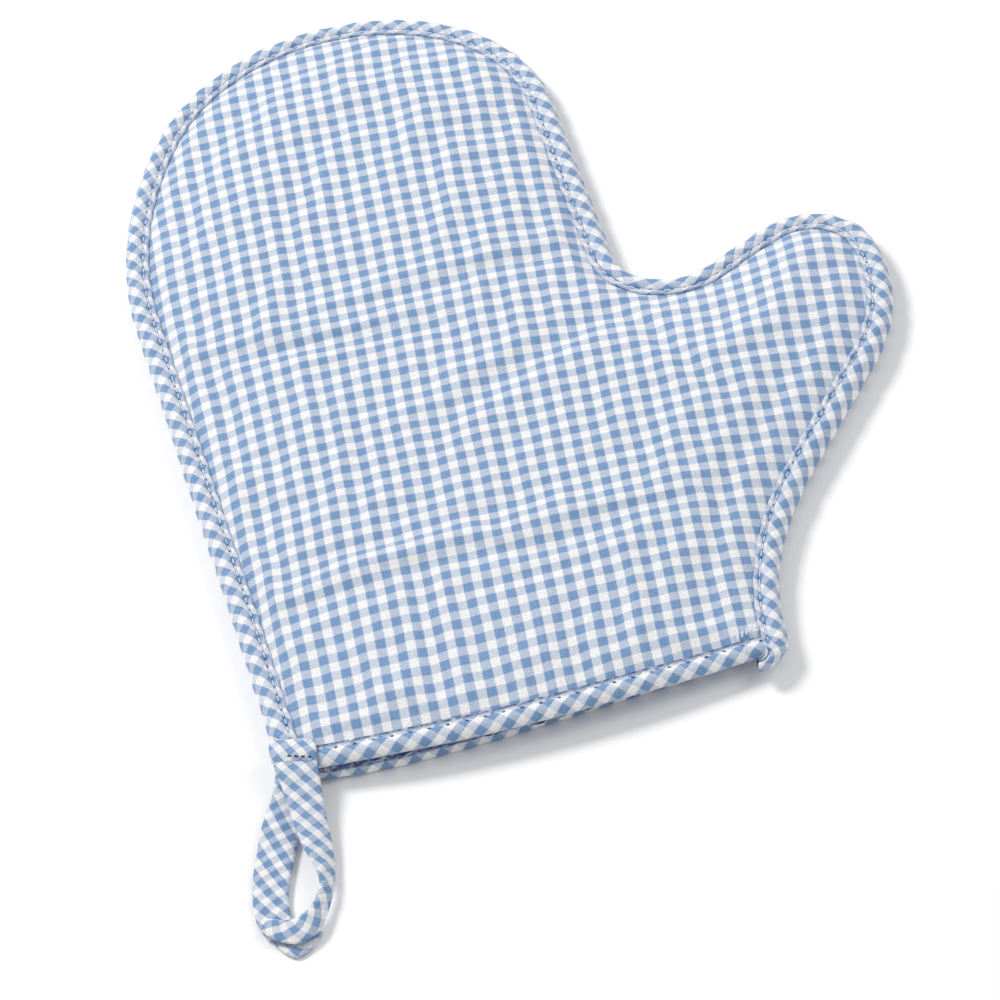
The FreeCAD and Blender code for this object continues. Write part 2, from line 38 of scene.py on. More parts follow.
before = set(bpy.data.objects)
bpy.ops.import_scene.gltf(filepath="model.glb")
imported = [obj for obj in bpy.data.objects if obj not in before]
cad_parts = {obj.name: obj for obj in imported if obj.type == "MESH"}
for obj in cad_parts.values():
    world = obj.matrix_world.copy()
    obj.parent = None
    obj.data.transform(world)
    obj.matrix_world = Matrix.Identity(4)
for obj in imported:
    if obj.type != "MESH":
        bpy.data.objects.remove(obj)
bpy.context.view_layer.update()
MM = 0.001

# ---------------------------------------------------------------------------------------
# Sizes shared with the CAD part
# ---------------------------------------------------------------------------------------
START = (-100.0, -152.0)
HEADING = 96.1
# length of a line with turn 0, or radius of an arc and its turn to the right in degrees
OUTLINE = [
    (230.8, 0.0), (154.8, 34.3), (75.7, 92.3), (65.5, 54.3), (81.3, 0.0), (20.4, -118.3),
    (151.3, 9.2), (24.2, 101.5), (70.3, 47.2), (51.5, 0.0), (121.7, -41.7), (15.6, 0.0),
]
CUFF = -132.6
SEAM = 5.0
RIM_TOP = 7.05
BACK_RIM = 2.9
LOFT = 7.2
CAVITY = 4.2
STITCH_LINE = 7.9
RIM_CREASE = 7.9
CUFF_CREASE = 9.0
CUFF_WADDING = 1.2
FINGER_FOLD = 85.4
THUMB_FOLD = (54.0, 47.4)
THUMB_LEAN = math.radians(12.5)
CHECK = 6.35


def smooth(share):
    """0 below 0, 1 above 1, and an even S between."""
    share = np.clip(share, 0.0, 1.0)
    return share * share * (3 - 2 * share)


# the tape itself leaves that line at the right corner, where its end turns under
TAPE_LINE = OUTLINE[:-2] + [(121.7, -36.7), (9.5, 105.0)]


def walk_outline(step, line=OUTLINE):
    """Points, headings and distances along the binding's outer edge, clockwise."""
    x, y = START
    heading = math.radians(HEADING)
    rows = [(x, y, heading, 0.0)]
    gone = 0.0
    for reach, turn in line:
        length = reach if turn == 0 else reach * math.radians(abs(turn))
        count = max(2, round(length / step))
        for _ in range(count):
            bend = math.radians(turn) / count
            stride = length / count
            heading -= bend / 2
            x += stride * math.cos(heading)
            y += stride * math.sin(heading)
            heading -= bend / 2
            gone += stride
            rows.append((x, y, heading, gone))
    rows = np.array(rows)
    return rows[:, :2], rows[:, 2], rows[:, 3]


RIM = walk_outline(1.0)[0]


def rim_distance(x, y):
    """Distance of plan points from the rim's outer edge."""
    points = np.stack([np.ravel(x), np.ravel(y)], 1)
    out = np.empty(len(points))
    for low in range(0, len(points), 4000):
        part = points[low:low + 4000]
        gap = part[:, None, :] - RIM[None, :, :]
        out[low:low + 4000] = np.sqrt((gap ** 2).sum(2).min(1))
    return out.reshape(np.shape(x))


# ---------------------------------------------------------------------------------------
# The mitt's faces as heights over the plan
# ---------------------------------------------------------------------------------------
def puff(past, shoulder, steep, reach):
    """Share of loft past a seam: shoulder of it within a few millimetres, the rest by reach."""
    past = np.maximum(past, 0.0)
    return shoulder * (1 - np.exp(-past / steep)) + (1 - shoulder) * smooth(past / reach)


def rim_rise(inside):
    """Share of loft at a distance inside the rim: a crease at the tape, then a plump shoulder."""
    return puff(inside - RIM_CREASE, 0.48, 4.5, 40.0)


def cuff_rise(beyond):
    """The same at a distance past the cuff's edge."""
    return puff(beyond - CUFF_CREASE, 0.55, 6.5, 50.0)


def mouth(x):
    """How far the two cuff edges part: open on the little-finger side, closed by the thumb."""
    return 0.4 + 1.2 * (1 - smooth(x / 40.0))


def front_top(x, y):
    beyond = y - CUFF
    low = mouth(x) + CUFF_WADDING
    lift = low + (LOFT - low) * cuff_rise(beyond)
    return RIM_TOP + rim_rise(rim_distance(x, y)) * lift


def front_under(x, y):
    """Underside of the front pad, the ceiling of the hand space."""
    opening = mouth(x) + 0.9
    lift = opening + (CAVITY - opening) * smooth((y - CUFF) / 90.0)
    return SEAM + 0.45 + rim_rise(rim_distance(x, y)) * lift


def back_bottom(x, y):
    return np.maximum(BACK_RIM * (1 - 1.15 * rim_rise(rim_distance(x, y))), 0.06)


# how far each cuff edge lies from the straight line, at these places across
CUFF_PLACES = (-90.0, -64.0, -45.0, -20.0, 5.0, 30.0, 60.0)
PALM_CUFF = np.polyfit(CUFF_PLACES, (-5.2, -7.2, -8.0, -7.2, -5.2, -2.2, 2.6), 3)
BACK_CUFF = np.polyfit(CUFF_PLACES, (-3.6, -3.7, -2.9, -0.4, 3.0, 5.6, 8.0), 3)


def cuff_warp(points):
    """The cut cuff edges aren't straight: the palm's edge bows out, the back's runs slanted."""
    points = np.array(points, float)
    front = np.polyval(PALM_CUFF, points[:, 0])
    back = np.polyval(BACK_CUFF, points[:, 0])
    palm = smooth((points[:, 2] - 4.0) / 2.5)
    fade = 1 - smooth((points[:, 1] - CUFF) / 70.0)
    points[:, 1] += (back + (front - back) * palm) * fade
    return points


def cloth_uv(x, y):
    """Place on the uncut gingham, in millimetres; the panel was cut a little off the grain."""
    eased = 0.02 * (x + 45.0) * smooth((y + 20.0) / 100.0)
    across = 1.0103 * (x - 1.24) + 0.0033 * (y - 3.4) + 141.88 - eased
    along = 0.9978 * (y - 3.4) - 0.0246 * (x - 1.24) - 223.7
    return np.stack([across, along], -1)


# ---------------------------------------------------------------------------------------
# Mesh helpers
# ---------------------------------------------------------------------------------------
FLOOR_GAP = 0.03


def vertex_normals(points, faces):
    """Smooth vertex normals, area weighted."""
    normals = np.zeros_like(points)
    for face in faces:
        corners = points[list(face)]
        normal = np.cross(corners[2] - corners[0], corners[-1] - corners[1])
        if len(face) == 3:
            normal = np.cross(corners[1] - corners[0], corners[2] - corners[0])
        normals[list(face)] += normal
    length = np.linalg.norm(normals, axis=1, keepdims=True)
    return normals / np.maximum(length, 1e-12)


def make_object(name, points, faces, material, uv=None, normals=None):
    """A mesh object from arrays in millimetres."""
    mesh = bpy.data.meshes.new(name)
    points = np.array(points, float)
    points[:, 2] = np.maximum(points[:, 2], FLOOR_GAP)
    mesh.from_pydata((points * MM).tolist(), [], [list(map(int, f)) for f in faces])
    mesh.materials.append(material)
    mesh.shade_smooth()
    if uv is not None:
        layer = mesh.uv_layers.new(name="cloth")
        corners = np.empty(len(mesh.loops), int)
        mesh.loops.foreach_get("vertex_index", corners)
        layer.data.foreach_set("uv", np.asarray(uv)[corners].astype(np.float32).ravel())
    if normals is not None:
        corners = np.empty(len(mesh.loops), int)
        mesh.loops.foreach_get("vertex_index", corners)
        mesh.normals_split_custom_set(np.asarray(normals)[corners].tolist())
    mesh.validate()
    thing = bpy.data.objects.new(name, mesh)
    bpy.context.scene.collection.objects.link(thing)
    return thing


def pick(faces, keep, *arrays):
    """The chosen faces with their own vertex numbering, and the arrays cut to match."""
    chosen = [face for face, kept in zip(faces, keep) if kept]
    used = np.unique(np.concatenate([np.asarray(face) for face in chosen]))
    number = {int(old): new for new, old in enumerate(used)}
    renamed = [[number[int(v)] for v in face] for face in chosen]
    return renamed, [np.asarray(a)[used] for a in arrays]


FOLD_ACROSS = Vector((math.cos(THUMB_LEAN), math.sin(THUMB_LEAN), 0))
THUMB_START, THUMB_END = -10.0, 34.0
# up and to the left of this point, beyond the crotch, the cloth belongs to the fingers
CROTCH = (85.0, 62.0)


def past_thumb_fold(x, y):
    """Distance past the thumb's hinge line, towards the thumb's tip."""
    return (x - THUMB_FOLD[0]) * FOLD_ACROSS.x + (y - THUMB_FOLD[1]) * FOLD_ACROSS.y


def is_thumb(x, y):
    """Whether a plan point is on the piece that bends with the thumb."""
    beside = (y < CROTCH[1]) | (x > CROTCH[0])
    return (past_thumb_fold(x, y) > THUMB_START - 1.0) & beside


def bend_fingers(thing):
    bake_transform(thing)


def bend_thumb(thing):
    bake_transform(thing)


def split_pieces(name, points, faces, material, uv, normals):
    """One continuous skin as two pieces: palm with fingers, and thumb."""
    centres = np.array([points[list(face)].mean(0) for face in faces])
    thumb = is_thumb(centres[:, 0], centres[:, 1])
    pieces = []
    for suffix, keep, bend in (("body", ~thumb, bend_fingers), ("thumb", thumb, bend_thumb)):
        own, (p, t, n) = pick(faces, keep, points, uv, normals)
        piece = make_object(name + "_" + suffix, p, own, material, t, n)
        bend(piece)
        pieces.append(piece)
    return pieces


# ---------------------------------------------------------------------------------------
# Materials
# ---------------------------------------------------------------------------------------
class Nodes:
    """A short way to write a node tree."""

    def __init__(self, name):
        self.material = bpy.data.materials.new(name)
        self.material.use_nodes = True
        self.tree = self.material.node_tree
        self.tree.nodes.clear()

    def add(self, kind, inputs=None, **settings):
        node = self.tree.nodes.new(kind)
        for key, value in settings.items():
            setattr(node, key, value)
        for key, value in (inputs or {}).items():
            if isinstance(value, bpy.types.NodeSocket):
                self.tree.links.new(value, node.inputs[key])
            else:
                node.inputs[key].default_value = value
        return node

    def math(self, operation, a, b=0.0, c=0.0, clamp=False):
        node = self.add(
            "ShaderNodeMath", {0: a, 1: b, 2: c}, operation=operation, use_clamp=clamp)
        return node.outputs[0]

    def mix(self, share, a, b):
        node = self.add("ShaderNodeMix", data_type="RGBA")
        for index, value in ((0, share), (6, a), (7, b)):
            if isinstance(value, bpy.types.NodeSocket):
                self.tree.links.new(value, node.inputs[index])
            else:
                node.inputs[index].default_value = value
        return node.outputs[2]

    def noise(self, vector, scale, detail=2.0, rough=0.5):
        node = self.add(
            "ShaderNodeTexNoise",
            {"Vector": vector, "Scale": scale, "Detail": detail, "Roughness": rough})
        return node.outputs["Fac"]

    def finish(self, colour, height, distance, roughness=0.9, sheen=0.25):
        bump = self.add("ShaderNodeBump", {"Height": height, "Distance": distance, "Strength": 0.6})
        shader = self.add(
            "ShaderNodeBsdfPrincipled",
            {"Base Color": colour, "Roughness": roughness, "Normal": bump.outputs[0],
             "Sheen Weight": sheen, "Sheen Roughness": 0.5, "Specular IOR Level": 0.25})
        self.add("ShaderNodeOutputMaterial", {"Surface": shader.outputs[0]})


BLUE = (0.20, 0.335, 0.56, 1)
BLUE_DEEP = (0.135, 0.245, 0.435, 1)
# navy that the tapes' cloth is mixed towards as painted shade: at pressed edges, along the rim's
# stitch groove and inside the cuff's mouth
PAINTED_SHADE_NAVY = (0.045, 0.085, 0.22, 1)
WHITE = (0.86, 0.865, 0.88, 1)
CREAM = (0.85, 0.82, 0.81, 1)
# yarns in one repeat of the check
THREADS = 20.0


def gingham(name, turn=0.0, offset=(0.0, 0.0), check=CHECK, strong=0.58, lip=0.0, groove=0.0):
    """Woven mini gingham from the cloth's own coordinates, which are in millimetres. Strong is
    the warp's share of the colour. On a tape, lip is how far from its pressed edge the cloth
    is mixed towards navy as painted shade, and groove where a painted shade line runs."""
    n = Nodes(name)
    place = n.add("ShaderNodeUVMap", uv_map="cloth").outputs[0]
    wander = n.add(
        "ShaderNodeTexNoise", {"Vector": place, "Scale": 0.03, "Detail": 1.0})
    drift = n.add(
        "ShaderNodeVectorMath", {0: wander.outputs["Color"], 1: (0.5, 0.5, 0.5)},
        operation="SUBTRACT").outputs[0]
    shaken = n.add(
        "ShaderNodeVectorMath", {0: drift, 1: (0.8, 0.8, 0.0), 2: place},
        operation="MULTIPLY_ADD").outputs[0]
    turned = n.add(
        "ShaderNodeMapping",
        {"Vector": shaken, "Location": (offset[0], offset[1], 0.0),
         "Rotation": (0.0, 0.0, turn), "Scale": (1 / check, 1 / check, 1.0)}).outputs[0]
    split = n.add("ShaderNodeSeparateXYZ", {0: turned})
    u, v = split.outputs[0], split.outputs[1]
    fine = n.noise(turned, 5.0, 3.0, 0.6)

    def stripe(axis):
        """1 on a blue stripe, 0 on a white one, with the ragged edge of single yarns."""
        wave = n.math("COSINE", n.math("MULTIPLY", axis, 2 * math.pi))
        ragged = n.math("MULTIPLY_ADD", fine, 0.5, -0.25)
        return n.math("MULTIPLY_ADD", n.math("ADD", wave, ragged), 2.4, 0.62, clamp=True)

    def yarn(axis, seed):
        """Tone of each single yarn, and its height across."""
        number = n.math("FLOOR", n.math("MULTIPLY", axis, THREADS))
        tone = n.add(
            "ShaderNodeTexWhiteNoise", {"W": n.math("ADD", number, seed)},
            noise_dimensions="1D").outputs["Value"]
        crown = n.math("SINE", n.math("MULTIPLY", axis, THREADS * 2 * math.pi))
        return tone, crown

    warp, weft = stripe(u), stripe(v)
    warp_tone, warp_crown = yarn(u, 3.3)
    weft_tone, weft_crown = yarn(v, 91.7)
    over = n.math("MULTIPLY", warp_crown, weft_crown)
    share = n.math("MULTIPLY_ADD", over, 0.3, strong)
    cloudy = n.noise(turned, 0.7, 2.0, 0.5)
    blue = n.mix(n.math("MULTIPLY_ADD", warp_tone, 0.7, -0.1, clamp=True), BLUE, BLUE_DEEP)
    white = n.mix(n.math("MULTIPLY_ADD", cloudy, 1.6, -0.5, clamp=True), WHITE, CREAM)
    slub = n.noise(turned, 11.0, 2.0, 0.8)
    warp_colour = n.mix(warp, white, blue)
    blue_weft = n.mix(n.math("MULTIPLY_ADD", weft_tone, 0.7, -0.1, clamp=True), BLUE, BLUE_DEEP)
    weft_colour = n.mix(weft, white, blue_weft)
    colour = n.mix(share, weft_colour, warp_colour)
    tone = n.math("MULTIPLY_ADD", slub, 0.95, 0.53)
    shade = n.add("ShaderNodeCombineColor", {0: tone, 1: tone, 2: tone}).outputs[0]
    colour = n.add(
        "ShaderNodeMix", {0: 1.0, 6: colour, 7: shade}, data_type="RGBA",
        blend_type="MULTIPLY").outputs[2]
    # painted shade: near the pressed edge the cloth is mixed towards navy where the turned fold
    # lies in shade, broken up by noise
    if lip:
        edge = n.math("ABSOLUTE", n.add("ShaderNodeSeparateXYZ", {0: place}).outputs[1])
        painted_shade = n.math("MULTIPLY_ADD", edge, -1.6, lip * 1.6, clamp=True)
        # painted shade of the stitch groove: a navy line where the groove runs, with the edge's
        # painted shade weakened
        if groove:
            away = n.math("ABSOLUTE", n.math("SUBTRACT", edge, groove))
            line = n.math("MULTIPLY_ADD", away, -1.5, 1.4, clamp=True)
            painted_shade = n.math("MAXIMUM", n.math("MULTIPLY", painted_shade, 0.4), line)
        broken = n.math("MULTIPLY_ADD", n.noise(place, 0.45, 2.0), 3.0, -0.75, clamp=True)
        colour = n.mix(n.math("MULTIPLY", painted_shade, broken), colour, PAINTED_SHADE_NAVY)
    fuzz = n.noise(turned, 60.0, 2.0, 0.7)
    relief = n.math("MULTIPLY_ADD", fuzz, 0.8, n.math("MULTIPLY", over, 0.5))
    n.finish(colour, relief, 0.00006)
    return n.material


def plain_cotton(name, colour, other):
    n = Nodes(name)
    place = n.add("ShaderNodeTexCoord").outputs["Object"]
    wave = []
    for direction in ("X", "Y"):
        node = n.add(
            "ShaderNodeTexWave", {"Vector": place, "Scale": 500.0, "Distortion": 0.4},
            bands_direction=direction)
        wave.append(node.outputs["Fac"])
    cloudy = n.noise(place, 45.0, 3.0)
    tint = n.mix(cloudy, colour, other)
    n.finish(tint, n.math("MULTIPLY", wave[0], wave[1]), 0.00005, 0.95, 0.2)
    return n.material


def thread_material(name, colour, other):
    n = Nodes(name)
    place = n.add("ShaderNodeTexCoord").outputs["Object"]
    twist = n.add(
        "ShaderNodeTexWave", {"Vector": place, "Scale": 900.0, "Distortion": 1.0},
        bands_direction="DIAGONAL").outputs["Fac"]
    n.finish(n.mix(twist, colour, other), twist, 0.00008, 0.6, 0.15)
    return n.material


panel_cloth = gingham("gingham_panel")
# front cuff tape: painted shade along its pressed edge, where the panel dips into the groove above
# the tape
tape_cloth = gingham("gingham_bias", turn=math.radians(45), strong=0.64, lip=2.5)
# back cuff tape: its face that lies inside the cuff's mouth is mixed towards navy as painted shadow
# of the mouth
mouth_shade_cloth = gingham("gingham_mouth_shade", turn=math.radians(45), strong=0.64, lip=11.8)
# rim tape: painted shade at its pressed edge and a painted shade line along the stitch groove
rim_cloth = gingham(
    "gingham_rim", turn=math.radians(45), strong=0.64, lip=2.1, groove=4.49)
loop_cloth = gingham(
    "gingham_loop", turn=math.radians(57), offset=(0.3, 0.2), check=5.2, strong=0.66)
lining_cloth = plain_cotton("white_lining", (0.84, 0.84, 0.82, 1), (0.76, 0.76, 0.74, 1))
thread = thread_material("sewing_thread", (0.80, 0.86, 0.93, 1), (0.55, 0.66, 0.82, 1))
# near-black navy used for the tack thread on the loop, and as painted shade: small capsules in it
# stand for the shade inside the needle holes along the front cuff tape
dark_thread_and_hole_shade = thread_material("tack_thread_and_needle_hole_shade", (0.02, 0.035, 0.09, 1), (0.03, 0.05, 0.12, 1))


# ---------------------------------------------------------------------------------------
# Panels
# ---------------------------------------------------------------------------------------
PANEL_INSET = 3.0
CUFF_INSET = 4.0


def panel_plan(step):
    """Plan points and faces of a panel, cut out along the rim and the cuff."""
    points, headings, _ = walk_outline(step)
    inward = np.stack([np.sin(headings), -np.cos(headings)], 1)
    edge = points + inward * PANEL_INSET
    near = CUFF + CUFF_INSET
    edge = edge[edge[:, 1] > near + step * 0.4]
    left = edge[0, 0] + (edge[0, 0] - edge[1, 0]) * 0.5
    right = edge[-1, 0] + (edge[-1, 0] - edge[-2, 0]) * 0.5
    count = int((right - left) / step)
    bottom = np.stack([np.linspace(right, left, count), np.full(count, near)], 1)
    loop = np.concatenate([edge, bottom])
    across = np.arange(-150.0, 150.0, step)
    along = np.arange(near + step * 0.8, 215.0, step)
    grid = np.stack(np.meshgrid(across, along), -1).reshape(-1, 2)
    inside = np.zeros(len(grid), bool)
    after = np.roll(loop, -1, 0)
    for (x0, y0), (x1, y1) in zip(loop, after):
        if y0 == y1:
            continue
        crosses = (grid[:, 1] < y0) != (grid[:, 1] < y1)
        inside ^= crosses & (grid[:, 0] < x0 + (x1 - x0) * (grid[:, 1] - y0) / (y1 - y0))
    grid = grid[inside]
    gap = grid[:, None, :] - loop[None, :, :]
    grid = grid[np.sqrt((gap ** 2).sum(2)).min(1) > step * 0.62]
    everything = np.concatenate([loop, grid])
    border = [(i, (i + 1) % len(loop)) for i in range(len(loop))]
    found = delaunay_2d_cdt([Vector(p) for p in everything], border, [], 1, 1e-4)
    build = bmesh.new()
    corners = [build.verts.new((p.x, p.y, 0.0)) for p in found[0]]
    for face in found[2]:
        build.faces.new([corners[i] for i in face])
    bmesh.ops.join_triangles(
        build, faces=build.faces, angle_face_threshold=0.2, angle_shape_threshold=0.9)
    bmesh.ops.recalc_face_normals(build, faces=build.faces)
    if sum(face.normal.z for face in build.faces) < 0:
        bmesh.ops.reverse_faces(build, faces=build.faces)
    return build


def subdivide(build, times):
    """Catmull-Clark subdivision of a bmesh, as arrays."""
    mesh = bpy.data.meshes.new("working")
    build.to_mesh(mesh)
    build.free()
    thing = bpy.data.objects.new("working", mesh)
    bpy.context.scene.collection.objects.link(thing)
    rounding = thing.modifiers.new("rounding", "SUBSURF")
    rounding.levels = times
    rounding.boundary_smooth = "ALL"
    bpy.context.view_layer.update()
    final = thing.evaluated_get(bpy.context.evaluated_depsgraph_get()).to_mesh()
    points = np.empty(len(final.vertices) * 3)
    final.vertices.foreach_get("co", points)
    faces = [list(face.vertices) for face in final.polygons]
    bpy.data.objects.remove(thing)
    return points.reshape(-1, 3), faces


# middle, direction, half length, half width, depth (negative is a hollow)
FOLDS = [
    (-10.0, 62.0, 6.0, 42.0, 4.0, -1.5),
    (-62.0, 44.0, -8.0, 34.0, 6.0, -1.2),
    (-30.0, -58.0, 4.0, 60.0, 8.0, 1.5),
    (8.0, 20.0, 30.0, 40.0, 7.0, -1.0),
    (48.0, 10.0, -60.0, 30.0, 6.0, -0.9),
]


def creases(x, y):
    """Soft folds of the palm, each a shallow hollow along a line."""
    total = np.zeros_like(x)
    for middle_x, middle_y, angle, length, wide, deep in FOLDS:
        c, s = math.cos(math.radians(angle)), math.sin(math.radians(angle))
        u = (x - middle_x) * c + (y - middle_y) * s
        v = -(x - middle_x) * s + (y - middle_y) * c
        fade = np.exp(-(u / length) ** 4)
        total += deep * fade * (np.exp(-(v / wide) ** 2) - 0.45 * np.exp(-(v / (2.6 * wide)) ** 2))
    return total


# share of extra cloth, frames simulated, and the most that a point may rise and slide
GROWTH = 0.014
FRAMES = 24
FOLD_CAP = 1.8
SLIDE_CAP = 0.8
# the band along the seams that doesn't move, and how firmly the rest is held
HELD_BAND = 9.5
GRIP = 0.42


def relax_cloth(build, hold):
    """Blender's cloth on a coarse panel: it has a little more cloth than the plan needs,
    and wadding that pushes it up, so it settles into shallow folds. It takes and returns
    millimetres, and simulates in metres."""
    mesh = bpy.data.meshes.new("working_cloth")
    build.to_mesh(mesh)
    mesh.transform(Matrix.Scale(MM, 4))
    thing = bpy.data.objects.new("working_cloth", mesh)
    bpy.context.scene.collection.objects.link(thing)
    group = thing.vertex_groups.new(name="hold")
    for number, weight in enumerate(hold):
        group.add([number], float(weight), "REPLACE")
    cloth = thing.modifiers.new("cloth", "CLOTH")
    settings = cloth.settings
    settings.vertex_group_mass = "hold"
    settings.quality = 6
    settings.mass = 0.02
    settings.tension_stiffness = 25.0
    settings.compression_stiffness = 25.0
    settings.shear_stiffness = 6.0
    settings.bending_stiffness = 0.6
    settings.air_damping = 4.0
    settings.pin_stiffness = 1.0
    settings.shrink_min = -GROWTH
    settings.use_pressure = True
    settings.uniform_pressure_force = 2.0
    settings.effector_weights.gravity = 0.0
    cloth.collision_settings.use_collision = False
    scene = bpy.context.scene
    scene.frame_start, scene.frame_end = 1, FRAMES
    cloth.point_cache.frame_start, cloth.point_cache.frame_end = 1, FRAMES
    for number in range(1, FRAMES + 1):
        scene.frame_set(number)
    final = thing.evaluated_get(bpy.context.evaluated_depsgraph_get()).to_mesh()
    points = np.empty(len(final.vertices) * 3)
    final.vertices.foreach_get("co", points)
    scene.frame_set(1)
    bpy.data.objects.remove(thing)
    return points.reshape(-1, 3) / MM


def build_panel():
    """The front panel's outer face and its cloth coordinates, and its plan, as arrays."""
    build = panel_plan(4.6)
    rough = np.array([corner.co for corner in build.verts])
    plan_points, faces = subdivide(build.copy(), 2)
    x, y = rough[:, 0], rough[:, 1]
    inside = rim_distance(x, y)
    soft = smooth((inside - 10.0) / 25.0) * smooth((y - CUFF - 10.0) / 30.0)
    start = front_top(x, y) + creases(x, y) * soft
    rough[:, 2] = start
    for corner, place in zip(build.verts, rough):
        corner.co = place
    seams = (inside < HELD_BAND) | (y < CUFF + HELD_BAND)
    hold = np.where(seams, 1.0, GRIP)
    settled = relax_cloth(build, hold)
    lift = np.clip(settled[:, 2] - start, -FOLD_CAP, FOLD_CAP)
    slide = np.clip(settled[:, :2] - rough[:, :2], -SLIDE_CAP, SLIDE_CAP)
    rough = np.column_stack([rough[:, :2] + slide, start + lift])
    for corner, place in zip(build.verts, rough):
        corner.co = place
    points, _ = subdivide(build, 2)
    x, y = plan_points[:, 0], plan_points[:, 1]
    inside = rim_distance(x, y)
    near_edge = 1 - smooth((np.minimum(inside, y - CUFF) - 9.3) / 7.0)
    exact = np.column_stack([x, y, front_top(x, y)])
    points = points + (exact - points) * near_edge[:, None]
    return cuff_warp(points), faces, cloth_uv(x, y), plan_points[:, :2]


def close_pad(name, top, faces, uv, under, material):
    """A pad from its outer face and its inner face, split at the thumb."""
    normals = vertex_normals(top, faces)
    centres = np.array([top[list(face)].mean(0) for face in faces])
    thumb = is_thumb(centres[:, 0], centres[:, 1])
    pieces = []
    for suffix, keep, bend in (("body", ~thumb, bend_fingers), ("thumb", thumb, bend_thumb)):
        own, (p, q, t, n) = pick(faces, keep, top, under, uv, normals)
        count = len(p)
        edges = {}
        for face in own:
            for a, b in zip(face, face[1:] + face[:1]):
                edges[(a, b)] = True
        walls = []
        for a, b in edges:
            if (b, a) in edges:
                continue
            middle = (p[a] + p[b]) / 2
            if rim_distance(middle[0], middle[1]) < 6 or middle[1] < CUFF + 8:
                walls.append([b, a, a + count, b + count])
        inner = [[v + count for v in reversed(face)] for face in own]
        points = np.concatenate([p, q])
        lower = -vertex_normals(q, own)
        piece = make_object(
            name + "_" + suffix, points, own + inner + walls, material,
            np.concatenate([t, t]), np.concatenate([n, lower]))
        bend(piece)
        pieces.append(piece)
    return pieces


palm, palm_faces, palm_uv, plan = build_panel()
under = cuff_warp(np.stack([plan[:, 0], plan[:, 1], front_under(plan[:, 0], plan[:, 1])], 1))
under[:, 1] = palm[:, 1]
under[:, 2] = np.minimum(under[:, 2], palm[:, 2] - 0.8)
front_body, front_thumb = close_pad(
    "front_pad", palm, palm_faces, palm_uv, under, panel_cloth)
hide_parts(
    "front_shell_hand", "front_shell_fingers", "front_wadding_hand",
    "front_wadding_fingers")
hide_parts("front_shell_thumb", "front_wadding_thumb")

back_face = cuff_warp(
    np.stack([plan[:, 0], plan[:, 1], back_bottom(plan[:, 0], plan[:, 1])], 1))
back_inner = back_face.copy()
back_inner[:, 2] = SEAM - 0.45
flipped = [list(reversed(face)) for face in palm_faces]
back_body, back_thumb = close_pad(
    "back_pad", back_face, flipped, cloth_uv(plan[:, 0] + 2.0, plan[:, 1] + 1.0), back_inner,
    panel_cloth)
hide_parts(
    "back_shell_hand", "back_shell_fingers", "back_wadding_hand",
    "back_wadding_fingers")
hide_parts("back_shell_thumb", "back_wadding_thumb")


# ---------------------------------------------------------------------------------------
# Linings: one sheet of white cotton on the inner side of each pad
# ---------------------------------------------------------------------------------------
def lining(name, heights, nodes_body, nodes_thumb, turned_over):
    build = panel_plan(6.5)
    points, faces = subdivide(build, 1)
    x, y = points[:, 0], points[:, 1]
    points = cuff_warp(np.stack([x, y, heights(x, y)], 1))
    if turned_over:
        faces = [list(reversed(face)) for face in faces]
    normals = vertex_normals(points, faces)
    pieces = split_pieces(
        name, points, faces, lining_cloth, cloth_uv(x, y), normals)
    for piece, nodes in zip(pieces, (nodes_body, nodes_thumb)):
        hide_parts(*nodes)


lining(
    "palm_lining", lambda x, y: front_under(x, y) - 0.25,
    ("front_lining_hand", "front_lining_fingers"), ("front_lining_thumb",), True)
lining(
    "rear_lining", lambda x, y: np.full_like(x, SEAM - 0.2),
    ("back_lining_hand", "back_lining_fingers"), ("back_lining_thumb",), False)


# ---------------------------------------------------------------------------------------
# Perimeter binding
# ---------------------------------------------------------------------------------------
# the folded tape's section, as distance inside the rim and height above the seam
TAPE_SECTION = [
    (8.8, 1.6), (9.4, 2.0), (9.7, 2.6), (9.4, 3.2), (8.7, 3.45), (7.9, 3.2), (7.3, 2.6),
    (6.7, 2.95), (5.9, 3.5), (4.9, 3.8), (3.6, 3.75), (2.2, 3.3), (1.1, 2.45), (0.35, 1.3),
    (0.0, 0.0), (0.3, -1.2), (1.0, -2.2), (2.2, -3.0), (3.8, -3.4), (5.6, -3.3), (6.6, -2.9),
    (7.3, -2.4), (8.3, -2.8), (9.3, -2.6), (9.6, -2.0), (9.0, -1.4),
]
# the section's outermost point
OUTERMOST = 14
RIM_STITCH = 6.35
# the tape lies narrower round the rim than along the cuff
RIM_SHARE = 0.87
TUCK = 14.0


def hump(along, length, seed):
    """A repeatable wandering value between about -1 and 1."""
    return (
        np.sin(along / length * 2 * math.pi + seed)
        + 0.7 * np.sin(along / length * 2 * math.pi * 0.618 + 2.1 * seed)
        + 0.5 * np.sin(along / length * 2 * math.pi * 1.71 + 3.7 * seed)) / 2.2


